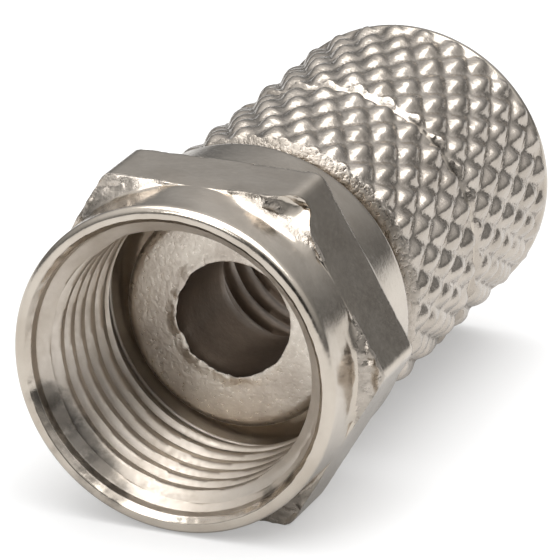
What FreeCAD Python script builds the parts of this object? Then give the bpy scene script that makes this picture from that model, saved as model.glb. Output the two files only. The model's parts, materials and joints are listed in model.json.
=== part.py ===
import FreeCAD, Part
import math
import os
import re
import Sketcher

# A twist-on F connector for coaxial cable, lying on its side.
# The connector's axis is the Y axis. Y = 0 is the mating plane, the front face of the
# body's flange. The open mouth of the nut points towards -Y and the cable enters from +Y.
# The nut lies on one flat of its hexagon, so +Z is up.

doc = FreeCAD.newDocument("f_connector")
sizes = doc.addObject("Spreadsheet::Sheet", "Sizes")

# Driving sizes in millimetres, degrees for angles
DRIVING = [
    # The hexagon nut, outside, places measured from its mouth
    ("across_flats", 11.0),
    ("collar_step", 0.05),
    ("corner_height", 0.8),
    ("mouth_round", 0.25),
    ("shoulder_place", 2.1),
    ("shoulder_fillet", 0.5),
    ("rear_land_length", 2.3),
    ("rear_round", 0.3),
    # The hexagon nut, inside, depths measured from its mouth
    ("lip_width", 0.37),
    ("mouth_taper", 0.18),
    ("mouth_chamfer", 0.15),
    ("counterbore_depth", 0.7),
    ("lead_in_height", 0.565),
    ("thread_room", 0.465),
    ("relief_length", 1.05),
    ("nut_depth", 6.05),
    ("lip_thickness", 0.95),
    # The body's flange and neck
    ("flange_radius", 3.8),
    ("flange_thickness", 0.8),
    ("flange_round", 0.4),
    ("neck_radius", 3.0),
    ("core_bore_radius", 1.95),
    ("neck_clearance", 0.08),
    ("lip_gap", 0.2),
    ("nut_gap", 1.2),
    # The body's sleeve, lengths along the axis
    ("front_band_length", 5.55),
    ("waist_length", 0.2),
    ("rear_band_length", 6.6),
    ("rear_rim_length", 0.15),
    ("cable_bore_radius", 3.0),
    ("cable_bore_wall", 0.7),
    ("cable_chamfer", 0.6),
    # The diamond knurl
    ("sleeve_step", 0.62),
    ("knurl_height", 0.34),
    ("face_step", 0.38),
    ("waist_step", 0.23),
    ("rim_step", 0.03),
    ("knurl_count", 29),
    ("knurl_row_pitch", 1.06),
    ("front_row_offset", 0.8),
    ("rear_row_offset", 1.0),
    ("front_knurl_turn", 35.0),
    ("rear_knurl_turn", 39.3),
]


def fill_sheet():
    """Write each driving size in its own cell, with its name as the alias."""
    for row, (name, value) in enumerate(DRIVING, start=1):
        sizes.set(f"A{row}", name)
        sizes.set(f"B{row}", str(value))
        sizes.setAlias(f"B{row}", name)
    doc.recompute()


def size(name):
    """The number in the cell called name."""
    return float(getattr(sizes, name))


SIZE_NAMES = {name for name, value in DRIVING}
fill_sheet()

# Two places closer than this are the same place
NEAR = 1e-4

# Sums that several sketches share, as expressions over the sheet
COLLAR_RADIUS = "( across_flats / 2 - collar_step )"
CORNER_RADIUS = "( across_flats / 2 + corner_height )"
MOUTH_RADIUS = f"( {COLLAR_RADIUS} - lip_width )"
COUNTERBORE_RADIUS = f"( {MOUTH_RADIUS} - mouth_taper )"
THREAD_RADIUS = f"( {COUNTERBORE_RADIUS} - lead_in_height )"
RELIEF_RADIUS = f"( {THREAD_RADIUS} + thread_room )"
LIP_BORE_RADIUS = "( neck_radius + neck_clearance )"
LEAD_IN_END = "( counterbore_depth + lead_in_height )"
THREAD_END = "( nut_depth - relief_length )"
NUT_LENGTH = "( nut_depth + lip_thickness )"
HEXAGON_END = f"( {NUT_LENGTH} - rear_land_length )"
ROOT_RADIUS = "( across_flats / 2 - sleeve_step )"
FACE_RADIUS = f"( {ROOT_RADIUS} - face_step )"
WAIST_RADIUS = f"( {ROOT_RADIUS} - waist_step )"
RIM_RADIUS = f"( {ROOT_RADIUS} - rim_step )"
BAND_CORE = f"( {ROOT_RADIUS} - knurl_height )"
SLEEVE_FRONT = "( flange_thickness + lip_gap + lip_thickness + nut_gap )"
WAIST_FRONT = f"( {SLEEVE_FRONT} + front_band_length )"
WAIST_REAR = f"( {WAIST_FRONT} + waist_length )"
RIM_FRONT = f"( {WAIST_REAR} + rear_band_length )"
SLEEVE_REAR = f"( {RIM_FRONT} + rear_rim_length )"
CABLE_STOP = f"( {SLEEVE_FRONT} + cable_bore_wall )"


def expression(text):
    """The same sum with each size's plain name pointing at its cell."""
    return re.sub(
        r"[a-z_]+",
        lambda word: f"Sizes.{word.group()}" if word.group() in SIZE_NAMES else word.group(),
        text,
    )


def value_of(text):
    """The number that an expression gives now."""
    result = sizes.evalExpression(expression(text))
    return float(getattr(result, "Value", result))


def new_body(name):
    """An empty body whose label names its file."""
    body = doc.addObject("PartDesign::Body", name)
    body.Label = name
    return body


def new_sketch(body, name, plane):
    """A sketch on one of the body's own origin planes."""
    sketch = body.newObject("Sketcher::SketchObject", name)
    origin_plane = [item for item in body.Origin.OriginFeatures if item.Role == plane][0]
    sketch.AttachmentSupport = [(origin_plane, "")]
    sketch.MapMode = "FlatFace"
    return sketch


def closed_outline(sketch, corners):
    """Straight lines round the corners, each corner held by two bound coordinates."""
    points = [FreeCAD.Vector(value_of(across), value_of(up), 0) for across, up in corners]
    count = len(points)
    lines = [
        sketch.addGeometry(Part.LineSegment(points[i], points[(i + 1) % count]), False)
        for i in range(count)
    ]
    for i in range(count):
        sketch.addConstraint(
            Sketcher.Constraint("Coincident", lines[i], 2, lines[(i + 1) % count], 1)
        )
    for line, point, (across, up) in zip(lines, points, corners):
        for kind, number, text in (("DistanceX", point.x, across), ("DistanceY", point.y, up)):
            index = sketch.addConstraint(Sketcher.Constraint(kind, line, 1, number))
            sketch.setExpression(f"Constraints[{index}]", expression(text))


def waste_ring(sketch, radius_text):
    """A circle about the axis, outside everything that the outline within it leaves."""
    radius = value_of(radius_text)
    ring = Part.Circle(FreeCAD.Vector(0, 0, 0), FreeCAD.Vector(0, 0, 1), radius)
    ring_index = sketch.addGeometry(ring, False)
    sketch.addConstraint(Sketcher.Constraint("Coincident", ring_index, 3, -1, 1))
    index = sketch.addConstraint(Sketcher.Constraint("Radius", ring_index, radius))
    sketch.setExpression(f"Constraints[{index}]", expression(radius_text))


def revolve(body, sketch, name):
    """Turn a profile once round the sketch's horizontal axis, the connector's axis."""
    feature = body.newObject("PartDesign::Revolution", name)
    feature.Profile = sketch
    feature.ReferenceAxis = (sketch, ["H_Axis"])
    feature.Angle = 360.0
    doc.recompute()
    return feature


def circle_edge_names(shape, radius, place):
    """Names of the circular edges of one radius at one place along the axis."""
    names = []
    for number, edge in enumerate(shape.Edges, start=1):
        curve = edge.Curve
        if not isinstance(curve, Part.Circle):
            continue
        if abs(curve.Radius - radius) < NEAR and abs(curve.Center.y - place) < NEAR:
            names.append(f"Edge{number}")
    return names


def round_edge(body, base, name, radius_text, place_text, round_name):
    """Fillet the circular edge that has this radius at this place."""
    edges = circle_edge_names(base.Shape, value_of(radius_text), value_of(place_text))
    feature = body.newObject("PartDesign::Fillet", name)
    feature.Base = (base, edges)
    feature.Radius = size(round_name)
    feature.setExpression("Radius", expression(round_name))
    doc.recompute()
    return feature


def make_coupling_nut():
    """The nut: turned blank with its bore, rounded edges, then six milled flats."""
    body = new_body("coupling_nut")
    profile = new_sketch(body, "nut_profile", "YZ_Plane")
    closed_outline(
        profile,
        [
            ("0", COLLAR_RADIUS),
            ("0", MOUTH_RADIUS),
            ("mouth_chamfer", COUNTERBORE_RADIUS),
            ("counterbore_depth", COUNTERBORE_RADIUS),
            (LEAD_IN_END, THREAD_RADIUS),
            (THREAD_END, THREAD_RADIUS),
            (THREAD_END, RELIEF_RADIUS),
            ("nut_depth", RELIEF_RADIUS),
            ("nut_depth", LIP_BORE_RADIUS),
            (NUT_LENGTH, LIP_BORE_RADIUS),
            (NUT_LENGTH, COLLAR_RADIUS),
            (HEXAGON_END, COLLAR_RADIUS),
            (HEXAGON_END, CORNER_RADIUS),
            ("shoulder_place", CORNER_RADIUS),
            ("shoulder_place", COLLAR_RADIUS),
        ],
    )
    blank = revolve(body, profile, "nut_blank")
    mouth = round_edge(body, blank, "mouth_edge", COLLAR_RADIUS, "0", "mouth_round")
    neck = round_edge(
        body, mouth, "shoulder_corner", COLLAR_RADIUS, "shoulder_place", "shoulder_fillet"
    )
    round_edge(body, neck, "rear_edge", COLLAR_RADIUS, NUT_LENGTH, "rear_round")

    flats = new_sketch(body, "nut_flats", "XZ_Plane")
    corner_reach = "across_flats / sqrt( 3 )"
    closed_outline(
        flats,
        [
            (f"{corner_reach} * cos( {60 * k} deg )", f"{corner_reach} * sin( {60 * k} deg )")
            for k in range(6)
        ],
    )
    waste_ring(flats, f"2 * {CORNER_RADIUS}")
    milled = body.newObject("PartDesign::Pocket", "milled_flats")
    milled.Profile = flats
    milled.Length = value_of(NUT_LENGTH)
    milled.setExpression("Length", expression(NUT_LENGTH))
    milled.Reversed = False
    recess = "nut_depth - flange_thickness - lip_gap"
    body.setExpression("Placement.Base.y", f"-( {expression(recess)} )")
    doc.recompute()
    return body


def make_turned_body():
    """The body before knurling: flange, neck and sleeve, with both bores."""
    body = new_body("turned_body")
    profile = new_sketch(body, "body_profile", "YZ_Plane")
    closed_outline(
        profile,
        [
            ("0", "core_bore_radius"),
            ("0", "flange_radius"),
            ("flange_thickness", "flange_radius"),
            ("flange_thickness", "neck_radius"),
            (SLEEVE_FRONT, "neck_radius"),
            (SLEEVE_FRONT, FACE_RADIUS),
            (f"{SLEEVE_FRONT} + knurl_height", BAND_CORE),
            (WAIST_FRONT, BAND_CORE),
            (WAIST_FRONT, WAIST_RADIUS),
            (WAIST_REAR, WAIST_RADIUS),
            (WAIST_REAR, BAND_CORE),
            (RIM_FRONT, BAND_CORE),
            (RIM_FRONT, RIM_RADIUS),
            (SLEEVE_REAR, f"{RIM_RADIUS} - rear_rim_length"),
            (SLEEVE_REAR, "cable_bore_radius + cable_chamfer"),
            (f"{SLEEVE_REAR} - cable_chamfer", "cable_bore_radius"),
            (CABLE_STOP, "cable_bore_radius"),
            (CABLE_STOP, "core_bore_radius"),
        ],
    )
    blank = revolve(body, profile, "body_blank")
    round_edge(body, blank, "flange_edge", "flange_radius", "0", "flange_round")
    return body


def knurl_band(front, rear, front_foot, rear_foot, first_row, turn):
    """A ring of diamond points between two places, closed inside the sleeve's core.

    Odd and even corners of each row are valley crossings and peaks in turn. Each end
    slopes down to a round foot, which is the band's turned chamfer.
    """
    corners = 2 * int(size("knurl_count"))
    step = 2.0 * math.pi / corners
    root = value_of(ROOT_RADIUS)
    peak = root + size("knurl_height")
    inner = root - 2.0 * size("knurl_height")
    pitch = size("knurl_row_pitch")
    rows = 1 + int((rear - pitch / 4.0 - first_row) / pitch)

    def ring(place, radius_at):
        points = []
        for i in range(corners):
            angle = math.radians(turn) + i * step
            reach = radius_at(i)
            points.append(
                FreeCAD.Vector(reach * math.sin(angle), place, reach * math.cos(angle))
            )
        return points

    rings = [ring(front, lambda i: inner), ring(front, lambda i: front_foot)]
    for k in range(rows):
        place = first_row + k * pitch
        rings.append(ring(place, lambda i, k=k: peak if (i + k) % 2 == 0 else root))
    rings.append(ring(rear, lambda i: rear_foot))
    rings.append(ring(rear, lambda i: inner))

    faces = []

    def triangle(a, b, c):
        faces.append(Part.Face(Part.makePolygon([a, b, c, a])))

    def cell(lower, upper, i, peak_below):
        j = (i + 1) % corners
        if peak_below:
            triangle(lower[i], lower[j], upper[i])
            triangle(lower[j], upper[j], upper[i])
        else:
            triangle(lower[i], lower[j], upper[j])
            triangle(lower[i], upper[j], upper[i])

    last = len(rings) - 1
    for i in range(corners):
        for k in range(1, last - 1):
            row = k - 2
            cell(rings[k], rings[k + 1], i, (i + row) % 2 == 0)
    faces.append(end_face(rings[0], rings[1]))
    faces.append(end_face(rings[last], rings[last - 1]))
    for i in range(corners):
        j = (i + 1) % corners
        loop = [rings[0][i], rings[0][j], rings[last][j], rings[last][i], rings[0][i]]
        faces.append(Part.Face(Part.makePolygon(loop)))
    solid = Part.makeSolid(Part.makeShell(faces))
    if solid.Volume < 0:
        solid.reverse()
    return solid


def end_face(inner_ring, outer_ring):
    """The flat end of a band, between its inner polygon and its foot."""
    outer_wire = Part.makePolygon(outer_ring + outer_ring[:1])
    inner_wire = Part.makePolygon(inner_ring + inner_ring[:1])
    return Part.Face([outer_wire, inner_wire], "Part::FaceMakerBullseye")


def make_knurl(name, front_text, rear_text, feet, offset_name, turn_name):
    """One knurled band as its own solid, before it joins the sleeve."""
    front = value_of(front_text)
    rear = value_of(rear_text)
    front_foot, rear_foot = [value_of(text) for text in feet]
    feature = doc.addObject("Part::Feature", name)
    feature.Shape = knurl_band(
        front, rear, front_foot, rear_foot, front + size(offset_name), size(turn_name)
    )
    return feature


def make_body_sleeve():
    """The whole body: the turned piece with its two knurled bands."""
    turned = make_turned_body()
    front_band = make_knurl(
        "front_knurl", SLEEVE_FRONT, WAIST_FRONT, (FACE_RADIUS, WAIST_RADIUS),
        "front_row_offset", "front_knurl_turn",
    )
    rear_band = make_knurl(
        "rear_knurl", WAIST_REAR, RIM_FRONT, (WAIST_RADIUS, RIM_RADIUS),
        "rear_row_offset", "rear_knurl_turn",
    )
    joined = doc.addObject("Part::MultiFuse", "body_sleeve")
    joined.Label = "body_sleeve"
    joined.Shapes = [turned, front_band, rear_band]
    doc.recompute()
    return joined


nut = make_coupling_nut()
sleeve = make_body_sleeve()
doc.recompute()

for item in doc.Objects:
    if "Invalid" in item.State or "Error" in item.State:
        raise RuntimeError(f"{item.Name} did not build: {item.State}")

os.makedirs("parts", exist_ok=True)
for piece in (nut, sleeve):
    shape = piece.Shape
    if shape.isNull() or not shape.isValid() or len(shape.Solids) != 1:
        raise RuntimeError(f"{piece.Label} is not one valid solid")
    shape.exportStep(f"parts/{piece.Label}.step")
    box = shape.BoundBox
    print(
        f"{piece.Label}: volume {shape.Volume:.2f} mm3,"
        f" X {box.XMin:.2f}..{box.XMax:.2f}, Y {box.YMin:.2f}..{box.YMax:.2f},"
        f" Z {box.ZMin:.2f}..{box.ZMax:.2f}, faces {len(shape.Faces)}"
    )
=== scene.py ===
# %% [markdown]
# # A twist-on F connector
#
# The real thing is two turned pieces of brass under nickel plate: a hexagon nut that spins,
# and a body with a flange at the front and a knurled sleeve behind it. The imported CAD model
# is the frame: it says where everything is, in metres, with the axis along Y and the front
# face of the flange at Y = 0. This lesson dresses it: it turns both pieces again with fine
# threads, soft edges and rounded knurling, gives them a worn plating, and lights them.
# Every size below is in millimetres, and MM turns it into metres.

# %% Load the frame
import bpy
import math
import numpy as np
from mathutils import Matrix, Vector, noise
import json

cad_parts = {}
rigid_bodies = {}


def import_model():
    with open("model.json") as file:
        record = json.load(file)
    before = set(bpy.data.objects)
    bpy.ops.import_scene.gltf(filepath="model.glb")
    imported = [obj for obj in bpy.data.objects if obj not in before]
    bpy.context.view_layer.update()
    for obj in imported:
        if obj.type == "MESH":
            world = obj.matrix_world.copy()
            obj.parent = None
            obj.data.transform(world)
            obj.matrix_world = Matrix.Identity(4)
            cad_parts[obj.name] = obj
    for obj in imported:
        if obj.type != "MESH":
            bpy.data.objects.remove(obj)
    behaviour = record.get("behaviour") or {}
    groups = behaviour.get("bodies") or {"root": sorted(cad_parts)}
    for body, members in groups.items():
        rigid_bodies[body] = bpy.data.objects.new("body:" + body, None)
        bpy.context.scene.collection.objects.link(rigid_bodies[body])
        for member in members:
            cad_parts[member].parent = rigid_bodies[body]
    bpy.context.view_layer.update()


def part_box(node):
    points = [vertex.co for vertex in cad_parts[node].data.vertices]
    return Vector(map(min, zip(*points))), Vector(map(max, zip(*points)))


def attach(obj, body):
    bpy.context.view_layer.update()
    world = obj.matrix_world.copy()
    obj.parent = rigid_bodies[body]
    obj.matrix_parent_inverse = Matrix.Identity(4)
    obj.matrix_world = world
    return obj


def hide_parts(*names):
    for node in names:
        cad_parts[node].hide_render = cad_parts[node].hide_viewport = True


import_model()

MM = 0.001

# %% [markdown]
# ## How a lathe's work is drawn
#
# Both pieces were turned, so each starts as its own section, drawn on one side of the axis.
# Every corner has a place along the axis, a radius and a rounding, and every stretch has its
# own spacing of points, because a stretch that later takes a thread or a knurl needs many.
# The rounding is worked out here rather than with a bevel, so that each point lands where the
# next steps expect it.

# %% Points along a section
# The longest step along the arc of a rounded corner is roughly this.
BEND_STEP = 0.07


def corner_arms(corners, number, shift):
    """A corner, the directions to the ones before and after it, and half their angle."""
    count = len(corners)
    before, here, after = (
        np.array([corners[k % count][0] + shift, corners[k % count][1]])
        for k in (number - 1, number, number + 1)
    )
    back = (before - here) / np.linalg.norm(before - here)
    on = (after - here) / np.linalg.norm(after - here)
    half = 0.5 * math.acos(float(np.clip(np.dot(back, on), -1.0, 1.0)))
    return here, back, on, half


def section_points(corners, shift):
    """Points round a closed section. A corner is place, radius, rounding, spacing after it."""
    points = []
    for i, (_, _, rounding, spacing) in enumerate(corners):
        here, back, on, half = corner_arms(corners, i, shift)
        reach = rounding / math.tan(half)
        start, end = here + back * reach, here + on * reach
        if rounding == 0:
            points.append(here)
        else:
            middle = here + (back + on) / np.linalg.norm(back + on) * rounding / math.sin(half)
            bends = max(2, int(math.ceil(rounding / BEND_STEP)) + 1)
            for k in range(bends + 1):
                share = k / bends
                arm = (start - middle) * (1 - share) + (end - middle) * share
                points.append(middle + arm / np.linalg.norm(arm) * rounding)
        after, far_back, _, far_half = corner_arms(corners, i + 1, shift)
        stop = after + far_back * corners[(i + 1) % len(corners)][2] / math.tan(far_half)
        pieces = max(1, int(round(np.linalg.norm(stop - end) / spacing)))
        points += [end + (stop - end) * k / pieces for k in range(1, pieces)]
    return points


# %% [markdown]
# ## Turning the section
#
# The section becomes a mesh the way it would by hand: one point is extruded from corner to
# corner, and the outline is then spun once round the axis. Spin leaves a doubled seam, which is
# merged, and the outsides are made to face out before anything else is done to the skin.

# %% Extrude the outline and spin it
# Points nearer than this become one, on the outline and at the seam of the spin.
OUTLINE_MERGE, SEAM_MERGE = 0.001 * MM, 0.002 * MM


def turn_on_lathe(name, points, steps):
    """A closed skin turned from a section of points, in millimetres along and off the axis."""
    bpy.ops.object.select_all(action="DESELECT")
    bpy.ops.mesh.primitive_plane_add(size=MM, location=(0, 0, 0))
    piece = bpy.context.object
    piece.name = name
    piece.data.name = name
    bpy.ops.object.mode_set(mode="EDIT")
    bpy.ops.mesh.select_all(action="SELECT")
    bpy.ops.mesh.merge(type="CENTER")
    places = [Vector((0.0, place * MM, radius * MM)) for place, radius in points]
    bpy.ops.transform.translate(value=places[0])
    for here, there in zip(places, places[1:] + places[:1]):
        bpy.ops.mesh.extrude_region_move(TRANSFORM_OT_translate={"value": there - here})
    bpy.ops.mesh.select_all(action="SELECT")
    bpy.ops.mesh.remove_doubles(threshold=OUTLINE_MERGE)
    bpy.ops.mesh.spin(steps=steps, angle=2 * math.pi, center=(0, 0, 0), axis=(0, 1, 0))
    bpy.ops.mesh.select_all(action="SELECT")
    bpy.ops.mesh.remove_doubles(threshold=SEAM_MERGE)
    bpy.ops.mesh.normals_make_consistent(inside=False)
    bpy.ops.object.mode_set(mode="OBJECT")
    return piece


# %% [markdown]
# ## Working on the skin
#
# Most of what follows moves points of a turned skin in or out, or along the axis. So a skin is
# read as three rows of numbers, worked on, and put back. The angle runs from the top, and rough
# places take their lumps from smooth noise.

# %% Read and move the points of a skin


def select_only(piece):
    """Make one piece the active one and the only one selected."""
    bpy.ops.object.select_all(action="DESELECT")
    bpy.context.view_layer.objects.active = piece
    piece.select_set(True)


def skin(piece):
    """The skin's points as place along the axis, radius and angle from the top, in mm."""
    flat = np.empty(len(piece.data.vertices) * 3)
    piece.data.vertices.foreach_get("co", flat)
    x, y, z = flat.reshape(-1, 3).T / MM
    return y, np.hypot(x, z), np.arctan2(x, z)


def set_skin(piece, place, radius, angle):
    """Put the skin's points back after they were moved."""
    points = np.stack([radius * np.sin(angle), place, radius * np.cos(angle)], axis=1) * MM
    piece.data.vertices.foreach_set("co", points.ravel())
    piece.data.update()


def grain(place, radius, angle, size, seed):
    """Smooth noise from -1 to 1 at points on the skin, with lumps of one size in mm."""
    spots = zip(place / size, radius * np.sin(angle) / size, radius * np.cos(angle) / size)
    return np.array([noise.noise(Vector((a + seed, b, c))) for a, b, c in spots])


# %% [markdown]
# ## Threads
#
# A screw thread is a ridge that climbs round the axis. On the turned skin each point already
# knows its place and its angle, so its height in the thread follows from the two: one turn on,
# the pattern has moved along by one pitch. The crests are flat over about a third of the pitch,
# the flanks steepen a little towards a sharp root, and both threads are right-handed.

# %% The form of a thread
FLANK_POWER = 1.3


def thread_depth(place, angle, pitch, crest):
    """How deep the thread is, from 0 on its crest to 1 at its root."""
    turn = place / pitch - angle / (2 * math.pi)
    away = 2 * np.abs(turn - np.round(turn))
    return np.clip((away - crest) / (1 - crest), 0.0, 1.0) ** FLANK_POWER


# %% [markdown]
# ## The coupling nut
#
# The nut is a turned blank that was then milled to six flats. Its mouth has a thin rounded lip,
# a short smooth counterbore and the thread for a 3/8-32 port, and at the back a lip turns on
# the body's neck. The blank is denser where the flats and the thread will be. Its lengths are
# counted from the mouth.

# %% Turn the nut's blank
MOUTH = -5.05
SHOULDER, HEXAGON_END, NUT_END = 2.1, 4.7, 7.0
THREAD_START, THREAD_END, RELIEF_END = 0.98, 5.0, 6.05
COLLAR, CORNER, REAR_LIP = 5.45, 6.32, 3.08
COUNTERBORE, RELIEF = 4.9, 4.8
PORT_MINOR, PORT_MAJOR, PORT_PITCH = 4.335, 4.7625, 0.79375
NUT_STEPS = 288

nut = turn_on_lathe(
    "hexagon_nut",
    section_points(
        [
            (0.0, 5.08, 0.04, 0.08),
            (0.0, COLLAR, 0.24, 0.12),
            (SHOULDER, COLLAR, 0.6, 0.06),
            (SHOULDER, CORNER, 0.06, 0.09),
            (HEXAGON_END, CORNER, 0.06, 0.07),
            (HEXAGON_END, COLLAR, 0.12, 0.12),
            (NUT_END, 5.32, 0.28, 0.2),
            (NUT_END, REAR_LIP, 0.08, 0.3),
            (RELIEF_END, REAR_LIP, 0.08, 0.2),
            (RELIEF_END, RELIEF, 0.1, 0.2),
            (THREAD_END, RELIEF, 0.1, 0.12),
            (THREAD_END, PORT_MINOR, 0.0, 0.066),
            (THREAD_START, PORT_MINOR, 0.0, 0.06),
            (0.5, 4.86, 0.06, 0.05),
            (0.22, COUNTERBORE, 0.08, 0.05),
        ],
        MOUTH,
    ),
    NUT_STEPS,
)
print("nut blank:", len(nut.data.vertices), "points")

# %% [markdown]
# ## Milling the flats
#
# A milled flat is where the blank's skin is pressed in to a plane. Each outer point that stands
# past the nearest flat moves straight in to it, which leaves the same curved edges that a real
# nut has, because a cone or a cylinder meets a plane in a curve. The collar in front is almost
# level with the middle of each flat, so there its fillet fades out and the collar rises into
# the flat without an edge.

# %% Press the skin in to six planes
FLAT = 5.5
OUTSIDE = 5.2
BLEND_START, BLEND_END, BLEND_LENGTH = 0.7, 3.1, 2.4


def flat_limit(angle):
    """How far from the axis the nearest flat lies at each angle."""
    sixth = math.pi / 3
    off_middle = np.abs((angle + sixth / 2) % sixth - sixth / 2)
    return FLAT / np.cos(off_middle)


def mill_flats(piece):
    """Move the outer points that stand past a flat on to it."""
    place, radius, angle = skin(piece)
    limit = flat_limit(angle)
    outside = (radius > OUTSIDE) & (place > MOUTH + 1.2)
    # The fillet in front of the shoulder is whole beside a corner and fades towards a flat.
    beside_corner = np.clip((limit - FLAT - 0.1) / 0.28, 0.0, 1.0)
    fillet = outside & (place < MOUTH + SHOULDER - 0.001)
    radius = np.where(fillet, COLLAR + (radius - COLLAR) * beside_corner, radius)
    # This is the milling itself.
    radius = np.where(outside, np.minimum(radius, limit), radius)
    # Near the middle of a flat a smooth rise from the collar replaces the step.
    near_middle = np.clip(1.0 - (limit - FLAT) / 0.14, 0.0, 1.0) * (radius > OUTSIDE)
    risen = np.clip((place - MOUTH - BLEND_START) / BLEND_LENGTH, 0.0, 1.0)
    risen = risen * risen * (3.0 - 2.0 * risen)
    merged = COLLAR + (limit - COLLAR) * risen
    in_front = (place > MOUTH + BLEND_START) & (place < MOUTH + BLEND_END)
    radius = np.where(in_front, radius + (merged - radius) * near_middle, radius)
    set_skin(piece, place, radius, angle)
    return int((outside & (radius >= limit - 1e-9)).sum())


print("points on the flats:", mill_flats(nut))

# %% [markdown]
# ## Softening the milled edges
#
# The plating has rounded every edge a little, and an edge that is a little round shows as a
# thin bright line. Milling has put some points on the same spot, so those are merged. Then the
# points within a hair of a flat's outline are picked and smoothed, as with the smooth brush.

# %% Smooth the points along the flats' outlines
EDGE_MERGE = 0.004 * MM


def soften(piece, chosen, factor, repeat):
    """Merge points that lie together and smooth the chosen ones."""
    select_only(piece)
    bpy.ops.object.mode_set(mode="EDIT")
    bpy.ops.mesh.select_mode(type="VERT")
    bpy.ops.mesh.select_all(action="SELECT")
    bpy.ops.mesh.remove_doubles(threshold=EDGE_MERGE)
    bpy.ops.mesh.select_all(action="DESELECT")
    bpy.ops.object.mode_set(mode="OBJECT")
    place, radius, angle = skin(piece)
    piece.data.vertices.foreach_set("select", chosen(place, radius, angle))
    bpy.ops.object.mode_set(mode="EDIT")
    bpy.ops.mesh.vertices_smooth(factor=factor, repeat=repeat)
    bpy.ops.object.mode_set(mode="OBJECT")


def near_flat_outline(place, radius, angle):
    """True where a point of the nut's outside is close to the outline of a flat."""
    along = place - MOUTH
    off_collar = radius > 5.47
    front = (np.abs(along - SHOULDER) < 0.13) & off_collar
    rear = (np.abs(along - HEXAGON_END) < 0.1) & off_collar
    ridge = (flat_limit(angle) > 6.2) & (along > SHOULDER - 0.05) & (along < HEXAGON_END + 0.05)
    return (front | rear | ridge) & (radius > 5.3)


soften(nut, near_flat_outline, 0.5, 2)
print("nut after smoothing:", len(nut.data.vertices), "points")

# %% [markdown]
# ## Cutting the nut's thread
#
# The wall inside is at the thread's crests, so the thread is cut outwards from it. Near the
# mouth it runs out into the lead-in, and at the back into the relief.

# %% Cut the port's thread
PORT_CREST, PORT_DEPTH = 0.3, 0.95


def cut_port_thread(piece):
    """Cut the helical groove into the nut's inner wall and count the points it takes in."""
    place, radius, angle = skin(piece)
    along = place - MOUTH
    inside = (radius < RELIEF) & (along > 0.5) & (along < THREAD_END - 0.01)
    depth = thread_depth(along, angle, PORT_PITCH, PORT_CREST)
    depth *= np.clip((THREAD_END - along) / 0.2, 0.0, 1.0)
    deep = np.maximum(radius, PORT_MINOR + PORT_DEPTH * (PORT_MAJOR - PORT_MINOR) * depth)
    set_skin(piece, place, np.where(inside, deep, radius), angle)
    return int(inside.sum())


print("points in the port's thread:", cut_port_thread(nut))

# %% [markdown]
# ## Wear on the nut
#
# The shoulders beside the corners are lumpy and pitted, and so is the rear edge of the flats.
# One corner has been knocked back. The lip round the mouth has small dents, but no point of it
# is left standing in front of the mouth's plane.

# %% Roughen the shoulders and dent the lip
WORN_CORNER, WORN_WIDTH = math.radians(34), math.radians(5.5)


def roughen_shoulders(piece):
    """Lumps and pits on the shoulders beside the corners, with one corner worn back."""
    place, radius, angle = skin(piece)
    along = place - MOUTH
    lumps = 0.12 * grain(place, radius, angle, 0.45, 3.0)
    lumps += 0.11 * grain(place, radius, angle, 0.22, 8.0)
    on_shoulder = np.clip((radius - 5.55) / 0.15, 0, 1) * np.clip((2.35 - along) / 0.2, 0, 1)
    on_shoulder *= along > 1.5
    worn = np.exp(-(((angle - WORN_CORNER) / WORN_WIDTH) ** 2))
    worn_to = SHOULDER + 0.9 * worn * np.clip((radius - 5.65) / 0.35, 0.0, 1.0)
    near_corner = (along > 1.9) & (along < 3.3) & (radius > 5.6) & (worn > 0.05)
    place = np.where(near_corner, MOUTH + np.maximum(along, worn_to), place)
    place = place + np.maximum(on_shoulder, near_corner * (along < worn_to + 0.05)) * lumps
    off_edge = np.abs(along - HEXAGON_END + 0.02)
    rear_edge = np.clip(1.0 - off_edge / 0.12, 0, 1) * (radius > 5.56)
    place = place + 0.35 * rear_edge * lumps
    radius = radius - 0.2 * rear_edge * np.abs(lumps)
    set_skin(piece, place, radius, angle)


def dent_lip(piece):
    """Small dents in the lip round the mouth."""
    place, radius, angle = skin(piece)
    near_lip = np.clip((MOUTH + 0.3 - place) / 0.15, 0.0, 1.0) * (radius < 5.4)
    dents = grain(place, radius, angle, 0.45, 4.0) + 0.7 * grain(place, radius, angle, 0.2, 9.0)
    place = np.maximum(place + near_lip * 0.012 * dents, MOUTH)
    set_skin(piece, place, radius + near_lip * 0.01 * dents, angle)


roughen_shoulders(nut)
dent_lip(nut)
print("nut:", len(nut.data.polygons), "faces")

# %% [markdown]
# ## The body
#
# Behind the nut's lip the body is a smooth neck, and in front of it the flange that the port
# presses against. The sleeve is knurled in two bands with a narrow waist between them, and a
# plain rim closes it at the rear. Its bore is threaded coarsely so that it can be twisted on to
# the cable.

# %% Turn the body's blank
FLANGE_REAR, SLEEVE_FRONT, WAIST_FRONT, WAIST_REAR = 0.8, 3.15, 8.7, 8.9
RIM, SLEEVE_REAR = 15.5, 15.65
HOLE, NECK, FLANGE, RIM_RADIUS = 1.95, 3.0, 3.8, 5.12
BORE_FRONT, CABLE_BORE = 3.85, 3.0
KNURL_ROOT, KNURL_TIP, KNURL_COUNT, KNURL_ROW = 4.93, 5.2, 29, 1.06
STEPS_PER_PILLOW = 11

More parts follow.
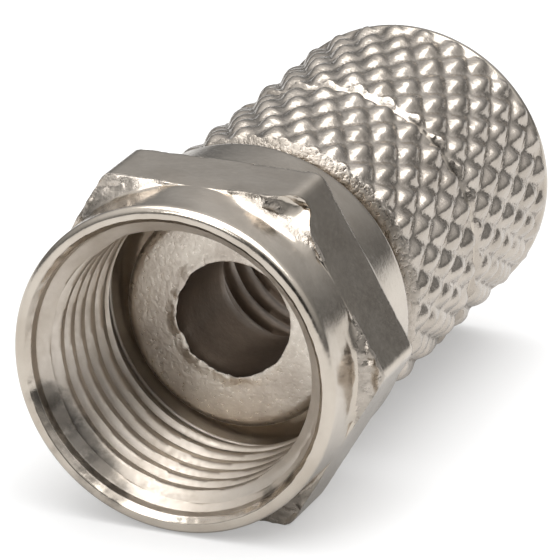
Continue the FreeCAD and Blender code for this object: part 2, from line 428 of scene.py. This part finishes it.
body = turn_on_lathe(
    "knurled_body",
    section_points(
        [
            (0.0, HOLE, 0.04, 0.11),
            (0.0, FLANGE, 0.38, 0.2),
            (FLANGE_REAR, FLANGE, 0.05, 0.2),
            (FLANGE_REAR, NECK, 0.1, 0.25),
            (SLEEVE_FRONT, NECK, 0.1, 0.2),
            (SLEEVE_FRONT, 4.55, 0.0, 0.08),
            (SLEEVE_FRONT + 0.25, KNURL_ROOT, 0.0, 0.09),
            (RIM - 0.4, KNURL_ROOT, 0.0, 0.071),
            (RIM - 0.1, RIM_RADIUS, 0.05, 0.05),
            (SLEEVE_REAR, RIM_RADIUS, 0.1, 0.07),
            (SLEEVE_REAR, 3.6, 0.08, 0.15),
            (SLEEVE_REAR - 0.6, CABLE_BORE, 0.05, 0.17),
            (BORE_FRONT, CABLE_BORE, 0.05, 0.2),
            (BORE_FRONT, HOLE, 0.05, 0.4),
        ],
        0.0,
    ),
    STEPS_PER_PILLOW * KNURL_COUNT,
)
print("body blank:", len(body.data.vertices), "points")

# %% [markdown]
# ## The knurl
#
# A knurl is rolled in by wheels that press two sets of slanting grooves across each other, and
# what is left between them are rows of small pillows. Its count goes exactly round the sleeve,
# so two waves, one leaning left and one leaning right, give the same pattern at every point. A
# power under one flattens the top of each pillow and steepens its sides, and a share of a
# straight-sided pyramid keeps its four facets. The bands' ends are cut to cones.

# %% Roll the two knurled bands
FRONT_ROW, FRONT_TURN = 3.95, math.radians(35.0)
REAR_ROW, REAR_TURN = 9.9, math.radians(39.3)
PILLOW_SHARE, PILLOW_POWER, FACET_SHARE = 0.85, 0.7, 0.15
GROOVE_ROUNDING = 0.015


def pillows(place, angle, first_row, turn):
    """Height of the knurl from 0 in a groove to 1 on a pillow."""
    around = KNURL_COUNT * (angle - turn) / (2 * math.pi)
    along = (place - first_row) / (2 * KNURL_ROW)
    left = np.sqrt(np.cos(math.pi * (around + along)) ** 2 + GROOVE_ROUNDING)
    right = np.sqrt(np.cos(math.pi * (around - along)) ** 2 + GROOVE_ROUNDING)
    facets = [1.0 - 2.0 * np.arccos(wave.clip(0.0, 1.0)) / math.pi for wave in (left, right)]
    return PILLOW_SHARE * (left * right) ** PILLOW_POWER + FACET_SHARE * np.minimum(*facets)


def roll_knurl(piece):
    """Raise the pillows of both bands and cut the bands' ends to their chamfers."""
    place, radius, angle = skin(piece)
    outside = (radius > 4.56) & (place > SLEEVE_FRONT + 0.03) & (place < RIM - 0.12)
    front = place < 0.5 * (WAIST_FRONT + WAIST_REAR)
    front_pillows = pillows(place, angle, FRONT_ROW, FRONT_TURN)
    rear_pillows = pillows(place, angle, REAR_ROW, REAR_TURN)
    height = np.where(front, front_pillows, rear_pillows)
    uneven = grain(place, radius, angle, 1.1, 2.0)
    knurled = KNURL_ROOT + (KNURL_TIP - KNURL_ROOT) * height * (0.94 + 0.14 * uneven)
    knurled += 0.02 * grain(place, radius, angle, 0.25, 6.0)
    chamfers = [
        4.62 + 2.0 * (place - SLEEVE_FRONT),
        np.where(front, 4.75 + 3.0 * np.maximum(WAIST_FRONT - place, 0.0), np.inf),
        np.where(front, np.inf, 4.8 + 1.6 * np.maximum(place - WAIST_REAR, 0.0)),
    ]
    for cone in chamfers:
        knurled = np.minimum(knurled, cone + 0.06 * uneven)
    # Just before the rim the grooves run out.
    near_rim = np.clip((place - RIM + 0.45) / 0.3, 0.0, 1.0)
    knurled += (np.maximum(knurled, 5.1) - knurled) * near_rim
    set_skin(piece, place, np.where(outside, knurled, radius), angle)
    return int(outside.sum())


print("points in the knurl:", roll_knurl(body))

# %% [markdown]
# ## The cable thread and the worn hole
#
# Inside the sleeve a coarse thread shows faintly through the hole in the flange. The hole
# itself was punched rather than bored: its edge is a little out of round, with a burr that the
# plating has thickened, most of all at the lower left.

# %% Cut the cable thread and raise the burr
CABLE_PITCH, CABLE_CREST, CABLE_DEPTH = 1.0, 0.4, 0.16
BURR_SIDE = math.radians(235)


def finish_bores(piece):
    """Cut the coarse thread in the sleeve's bore and make the hole's edge uneven."""
    place, radius, angle = skin(piece)
    bore = (radius > 2.9) & (radius < 3.05) & (place > 4.0) & (place < SLEEVE_REAR - 0.7)
    depth = thread_depth(place, angle, CABLE_PITCH, CABLE_CREST)
    radius = np.where(bore, CABLE_BORE + CABLE_DEPTH * depth, radius)
    edge = np.clip(1 - (radius - HOLE) / 0.35, 0, 1) * np.clip(1 - place / 0.5, 0, 1)
    edge *= radius < 2.4
    ragged = grain(place, radius, angle, 0.6, 5.0) + 0.6 * grain(place, radius, angle, 0.25, 1.0)
    on_burr_side = 0.5 + 0.5 * np.cos(angle - BURR_SIDE)
    burr = 0.02 + 0.1 * on_burr_side * np.clip(ragged + 0.3, 0, 1)
    set_skin(piece, place - edge * burr, radius + edge * 0.05 * ragged, angle)


finish_bores(body)
print("body:", len(body.data.polygons), "faces")

# %% [markdown]
# ## Nickel plate
#
# Dull nickel is a warm grey metal. It isn't even: the bath leaves it smoother in some places
# than in others, and handling leaves fine scratches. So its colour and roughness wander a
# little over a millimetre or two, and a fine grain bends the reflections. Where the brass
# under it was left rough, as on the nut's shoulders, the plate is pitted. The face of the
# flange is bright with scratches, and the rolled knurl is a little darker than the turned
# skin. The deep narrow bore is made dull and brown, painted shade for the dark inside of the
# bore, and the thread in the nut is lighter and more matt than the outside.

# %% Make the plating


def link(tree, start, end):
    """Join one socket to another."""
    tree.links.new(start, end)


def add(tree, kind, **settings):
    """A new node with its plain settings and input values."""
    node = tree.nodes.new(kind)
    for name, value in settings.items():
        if name in node.inputs:
            node.inputs[name].default_value = value
        else:
            setattr(node, name, value)
    return node


def map_range(tree, value, limits, **settings):
    """Carry a value from one range to another. The limits are from, from, to and to."""
    node = add(tree, "ShaderNodeMapRange", **settings)
    for socket, limit in zip(node.inputs[1:5], limits):
        socket.default_value = limit
    link(tree, value, node.inputs["Value"])
    return node.outputs["Result"]


def nickel(name, dark, light, smooth, rough, grain_depth):
    """Plated metal whose colour, roughness and grain wander over the surface."""
    material = bpy.data.materials.new(name)
    material.use_nodes = True
    tree = material.node_tree
    shader = tree.nodes["Principled BSDF"]
    shader.inputs["Metallic"].default_value = 1.0
    where = add(tree, "ShaderNodeTexCoord")
    blotches = add(tree, "ShaderNodeTexNoise", Scale=650.0, Detail=3.0, Roughness=0.55)
    fine = add(tree, "ShaderNodeTexNoise", Scale=6500.0, Detail=3.0, Roughness=0.6)
    for texture in (blotches, fine):
        link(tree, where.outputs["Object"], texture.inputs["Vector"])
    colour = add(tree, "ShaderNodeValToRGB")
    for element, position, tint in zip(colour.color_ramp.elements, (0.35, 0.65), (dark, light)):
        element.position = position
        element.color = (*tint, 1.0)
    link(tree, blotches.outputs["Fac"], colour.inputs["Fac"])
    link(tree, colour.outputs["Color"], shader.inputs["Base Color"])
    roughness = map_range(tree, fine.outputs["Fac"], (0.3, 0.7, smooth, rough))
    link(tree, roughness, shader.inputs["Roughness"])
    bump = add(tree, "ShaderNodeBump", Strength=0.6, Distance=grain_depth * MM)
    link(tree, fine.outputs["Fac"], bump.inputs["Height"])
    link(tree, bump.outputs["Normal"], shader.inputs["Normal"])
    return material


plate = nickel("dull_nickel", (0.57, 0.505, 0.43), (0.67, 0.605, 0.525), 0.12, 0.24, 0.006)
pitted = nickel("pitted_nickel", (0.36, 0.32, 0.275), (0.62, 0.56, 0.495), 0.2, 0.42, 0.06)
# The bore's finish is darker and browner than the plate: painted shade for the deep bore.
bore_shade = nickel("painted_shade_bore", (0.4, 0.34, 0.29), (0.5, 0.43, 0.37), 0.35, 0.5, 0.01)
cut = nickel("matt_thread", (0.64, 0.57, 0.49), (0.78, 0.71, 0.63), 0.38, 0.55, 0.008)
rolled = nickel("rolled_nickel", (0.5, 0.445, 0.385), (0.61, 0.55, 0.485), 0.17, 0.29, 0.02)
scratched = nickel("scratched_face", (0.58, 0.51, 0.44), (0.82, 0.75, 0.66), 0.24, 0.42, 0.035)
print("finishes:", [f.name for f in (plate, pitted, bore_shade, cut, rolled, scratched)])

# %% [markdown]
# ## Painted shade inside the mouth
#
# Painted shade darkens the plate inside the lip, most of all at the lower left, standing in
# for a dark reflection there. A patch of it is a spot in space: the distance from it, made
# ragged with noise, says how much of the colour is left. Spots that overlap darken each other,
# and because the finishes of the lip and of the thread take the same spots, the painted shade
# runs over both without an edge.

# %% Paint shade inside the mouth
# How much of the colour is left in the middle of a spot of painted shade.
PAINTED_SHADE_LEFT = 0.4
# A spot of painted shade: direction in degrees from +X towards +Z, place behind the mouth, reach.
PAINTED_SHADE_SPOTS = (
    (-160, 0.5, 0.7),
    (-150, 0.8, 0.95),
    (-138, 0.9, 1.1),
    (-126, 0.6, 0.95),
    (-114, 0.3, 0.6),
    (-50, 0.3, 0.5),
    (-38, 0.2, 0.4),
)


def paint_shade(material, spots):
    """Paint shade on a finish round some spots, each given as a point and a reach in mm."""
    tree = material.node_tree
    base = tree.nodes["Principled BSDF"].inputs["Base Color"]
    colour = base.links[0].from_socket
    where = add(tree, "ShaderNodeTexCoord")
    ragged = add(tree, "ShaderNodeTexNoise", Scale=1500.0, Detail=4.0, Roughness=0.65)
    link(tree, where.outputs["Object"], ragged.inputs["Vector"])
    for point, reach in spots:
        away = add(tree, "ShaderNodeVectorMath", operation="DISTANCE")
        link(tree, where.outputs["Object"], away.inputs[0])
        away.inputs[1].default_value = Vector(point) * MM
        edge = add(tree, "ShaderNodeMath", operation="MULTIPLY_ADD")
        link(tree, ragged.outputs["Fac"], edge.inputs[0])
        edge.inputs[1].default_value = reach * MM
        link(tree, away.outputs["Value"], edge.inputs[2])
        limits = (0.9 * reach * MM, 1.5 * reach * MM, PAINTED_SHADE_LEFT, 1.0)
        share = map_range(tree, edge.outputs["Value"], limits, interpolation_type="SMOOTHSTEP")
        darker = add(tree, "ShaderNodeVectorMath", operation="SCALE")
        link(tree, colour, darker.inputs[0])
        link(tree, share, darker.inputs["Scale"])
        colour = darker.outputs["Vector"]
    link(tree, colour, base)


lip_shade_spots = []
for degrees, along, reach in PAINTED_SHADE_SPOTS:
    out = math.radians(degrees)
    point = (COUNTERBORE * math.cos(out), MOUTH + along, COUNTERBORE * math.sin(out))
    lip_shade_spots.append((point, reach))
# The plate of the lip and the matt thread take the painted shade.
for finish in (plate, cut):
    paint_shade(finish, lip_shade_spots)
print("painted shade spots in the lip:", len(lip_shade_spots))

# %% [markdown]
# ## Dressing the frame
#
# Each new piece takes the place of its CAD solid, rides on the same body, and names the slot
# that its finish belongs to. Faces are then painted by where they lie. The nut's shoulders, the
# rear edge of its flats and the front edge of the sleeve get the pitted plate, the nut's thread
# the matt one, the flange's face the scratched one, the bands the rolled one, and the bore the
# darker one, which is painted shade. The waist, the rim and the rest keep the plain plate.

# %% Put the finishes on and hang the pieces on the frame
WAIST = 8.8
SMOOTH_ANGLE = math.radians(38)


def finish_piece(piece, finishes, node, ride_on):
    """Smooth shading, finishes, and the piece's place in the frame."""
    select_only(piece)
    bpy.ops.object.shade_smooth_by_angle(angle=SMOOTH_ANGLE)
    for material in finishes:
        piece.data.materials.append(material)
    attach(piece, ride_on)
    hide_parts(node)


def paint_faces(piece, finish, chosen):
    """Give one of the piece's finishes to the faces chosen by their place and radius."""
    faces = piece.data.polygons
    centres = np.empty(len(faces) * 3)
    faces.foreach_get("center", centres)
    x, y, z = centres.reshape(-1, 3).T / MM
    slots = np.empty(len(faces), dtype=np.int32)
    faces.foreach_get("material_index", slots)
    picked = chosen(y, np.hypot(x, z))
    slots[picked] = piece.data.materials.find(finish.name)
    faces.foreach_set("material_index", slots)
    return int(picked.sum())


finish_piece(nut, (plate, pitted, cut), "coupling_nut", "nut")
body_finishes = (plate, pitted, bore_shade, scratched, rolled)
finish_piece(body, body_finishes, "body_sleeve", "sleeve")
shoulder_faces = paint_faces(
    nut, pitted, lambda y, r: (r > 5.58) & (y > MOUTH + 1.7) & (y < MOUTH + SHOULDER + 0.12)
)
rear_faces = paint_faces(
    nut, pitted, lambda y, r: (r > 5.56) & (np.abs(y - MOUTH - HEXAGON_END) < 0.09)
)
knurl_faces = paint_faces(
    body, rolled, lambda y, r: (r > 4.6) & (y < RIM - 0.15) & (np.abs(y - WAIST) > 0.16)
)
front_faces = paint_faces(body, pitted, lambda y, r: (r > 3.3) & (y > 3.0) & (y < 3.45))
thread_faces = paint_faces(nut, cut, lambda y, r: (r < 4.95) & (y > MOUTH + 0.2) & (y < 1.0))
flange_faces = paint_faces(body, scratched, lambda y, r: (y < 0.3) & (r < 3.9) & (r > 1.9))
# The bore gets the darker finish, painted shade for its dark inside.
bore_faces = paint_faces(
    body, bore_shade, lambda y, r: (y > 0.15) & (y < 14.0) & (r < 2.99 + 0.3 * (y > 3.7))
)
print("pitted faces:", shoulder_faces + rear_faces + front_faces, "rolled:", knurl_faces)
print("matt faces:", thread_faces, "scratched:", flange_faces, "tarnished:", bore_faces)

# %% [markdown]
# ## The table
#
# The connector lies on one flat of its hexagon on a sheet of white paper. The paper glows a
# little for the camera, so that it stays white round a soft shadow, and less for reflections.

# %% Lay the table
TABLE_SIZE = 1.2
PAPER_WHITE, PAPER_GLOW, GLOW_IN_REFLECTIONS = 0.58, 0.36, 0.2

floor_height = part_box("coupling_nut")[0][2]
bpy.ops.object.select_all(action="DESELECT")
bpy.ops.mesh.primitive_plane_add(size=TABLE_SIZE, location=(0, 0, 0))
table = bpy.context.object
table.name = "table"
bpy.ops.object.mode_set(mode="EDIT")
bpy.ops.mesh.select_all(action="SELECT")
bpy.ops.transform.translate(value=(0, 0, floor_height))
bpy.ops.object.mode_set(mode="OBJECT")

paper = bpy.data.materials.new("white_paper")
paper.use_nodes = True
tree = paper.node_tree
paper_shader = tree.nodes["Principled BSDF"]
paper_shader.inputs["Base Color"].default_value = (PAPER_WHITE, PAPER_WHITE, PAPER_WHITE, 1.0)
paper_shader.inputs["Roughness"].default_value = 0.9
paper_shader.inputs["Specular IOR Level"].default_value = 0.0
paper_shader.inputs["Emission Color"].default_value = (1.0, 1.0, 1.0, 1.0)
ray = add(tree, "ShaderNodeLightPath")
seen = add(tree, "ShaderNodeMath", operation="MULTIPLY_ADD")
link(tree, ray.outputs["Is Glossy Ray"], seen.inputs[0])
seen.inputs[1].default_value = GLOW_IN_REFLECTIONS
link(tree, ray.outputs["Is Camera Ray"], seen.inputs[2])
lift = add(tree, "ShaderNodeMath", operation="MULTIPLY")
lift.inputs[1].default_value = PAPER_GLOW
link(tree, seen.outputs["Value"], lift.inputs[0])
link(tree, lift.outputs["Value"], paper_shader.inputs["Emission Strength"])
table.data.materials.append(paper)
print("table at", round(floor_height / MM, 3), "mm")

# %% [markdown]
# ## The room
#
# Small bright metal shows mostly what stands around it, so the room matters as much as the
# plating. Its light comes from the world. How bright it is depends on how high one looks: a
# ramp on the height of the ray's direction, dark near the horizon and white overhead. The side
# where the camera stands is darker still, so that what faces the camera squarely looks dark.
# Camera rays see plain white.

# %% Light the room
ROOM_LEVELS = ((0.12, 0.18), (0.36, 0.42), (0.6, 0.75))
HORIZON = 0.14
CAMERA_SIDE = (0.353, -0.865, 0.356)
# The room starts to dim at the first cosine from the camera's side and has dimmed at the next.
DIM_FROM, DIMMED_AT, DIMMED_TO = 0.82, 0.985, 0.1

world = bpy.data.worlds.new("studio")
bpy.context.scene.world = world
world.use_nodes = True
tree = world.node_tree
direction = add(tree, "ShaderNodeTexCoord")
parts = add(tree, "ShaderNodeSeparateXYZ")
link(tree, direction.outputs["Generated"], parts.inputs["Vector"])
walls = add(tree, "ShaderNodeValToRGB")
ramp = walls.color_ramp
ramp.elements[0].position = 0.0
ramp.elements[0].color = (HORIZON, HORIZON, HORIZON, 1.0)
ramp.elements[1].position = 1.0
ramp.elements[1].color = (1.0, 1.0, 1.0, 1.0)
for height, level in ROOM_LEVELS:
    ramp.elements.new(height).color = (level, level, level, 1.0)
link(tree, parts.outputs["Z"], walls.inputs["Fac"])

facing = add(tree, "ShaderNodeVectorMath", operation="DOT_PRODUCT")
facing.inputs[1].default_value = CAMERA_SIDE
link(tree, direction.outputs["Generated"], facing.inputs[0])
dim_limits = (DIM_FROM, DIMMED_AT, 1.0, DIMMED_TO)
shade = map_range(tree, facing.outputs["Value"], dim_limits, interpolation_type="SMOOTHSTEP")
dimmed = add(tree, "ShaderNodeVectorMath", operation="SCALE")
link(tree, walls.outputs["Color"], dimmed.inputs[0])
link(tree, shade, dimmed.inputs["Scale"])

room_ray = add(tree, "ShaderNodeLightPath")
white = add(tree, "ShaderNodeMix", data_type="RGBA")
link(tree, room_ray.outputs["Is Camera Ray"], white.inputs["Factor"])
link(tree, dimmed.outputs["Vector"], white.inputs[6])
white.inputs[7].default_value = (1.0, 1.0, 1.0, 1.0)
link(tree, white.outputs[2], tree.nodes["Background"].inputs["Color"])
print("room levels:", len(ramp.elements))

# %% [markdown]
# ## The lamps
#
# A large square lamp hangs over the connector and gives the flats their even light. A smaller
# one stands in front and to the left, and lights the inside of the mouth.

# %% Hang the two lamps


def softbox(name, place, aim, size, power):
    """A square lamp at a place, turned to face a point, both in millimetres."""
    bpy.ops.object.light_add(type="AREA", location=Vector(place) * MM)
    lamp = bpy.context.object
    lamp.name = name
    lamp.data.size = size * MM
    lamp.data.energy = power
    lamp.rotation_euler = (Vector(aim) - Vector(place)).to_track_quat("-Z", "Y").to_euler()


softbox("ceiling_box", (12, 12, 165), (0, 5, 0), 228, 0.38)
softbox("front_box", (-40, -170, 130), (0, -3, 0), 80, 0.085)

# %% [markdown]
# ## The camera
#
# The picture was taken from in front, a little to the right and above. A long lens a hand's
# breadth away gives the same mild perspective.

# %% Aim the camera
AZIMUTH, ELEVATION, DISTANCE, LENS = 22.194, 20.859, 177.054, 353.96
AIM_ALONG, AIM_RIGHT, AIM_UP = 0.95, 1.131, 0.925

turn, rise = math.radians(AZIMUTH), math.radians(ELEVATION)
back = Vector((math.sin(turn) * math.cos(rise), -math.cos(turn) * math.cos(rise), math.sin(rise)))
right = Vector((math.cos(turn), math.sin(turn), 0.0))
up = back.cross(right)
target = Vector((0.0, AIM_ALONG, 0.0)) + AIM_RIGHT * right + AIM_UP * up
bpy.ops.object.camera_add(location=(target + DISTANCE * back) * MM)
camera = bpy.context.object
camera.rotation_euler = Matrix((right, up, back)).transposed().to_euler()
camera.data.sensor_width = 36.0
camera.data.lens = LENS
camera.data.clip_start = 0.01
bpy.context.scene.camera = camera
bpy.context.scene.view_settings.view_transform = "Standard"
print("camera at", [round(value, 4) for value in camera.location])

# %% [markdown]
# ## The end
#
# The finished pieces have to stay inside the box of the CAD model.

# %% Finish
import json
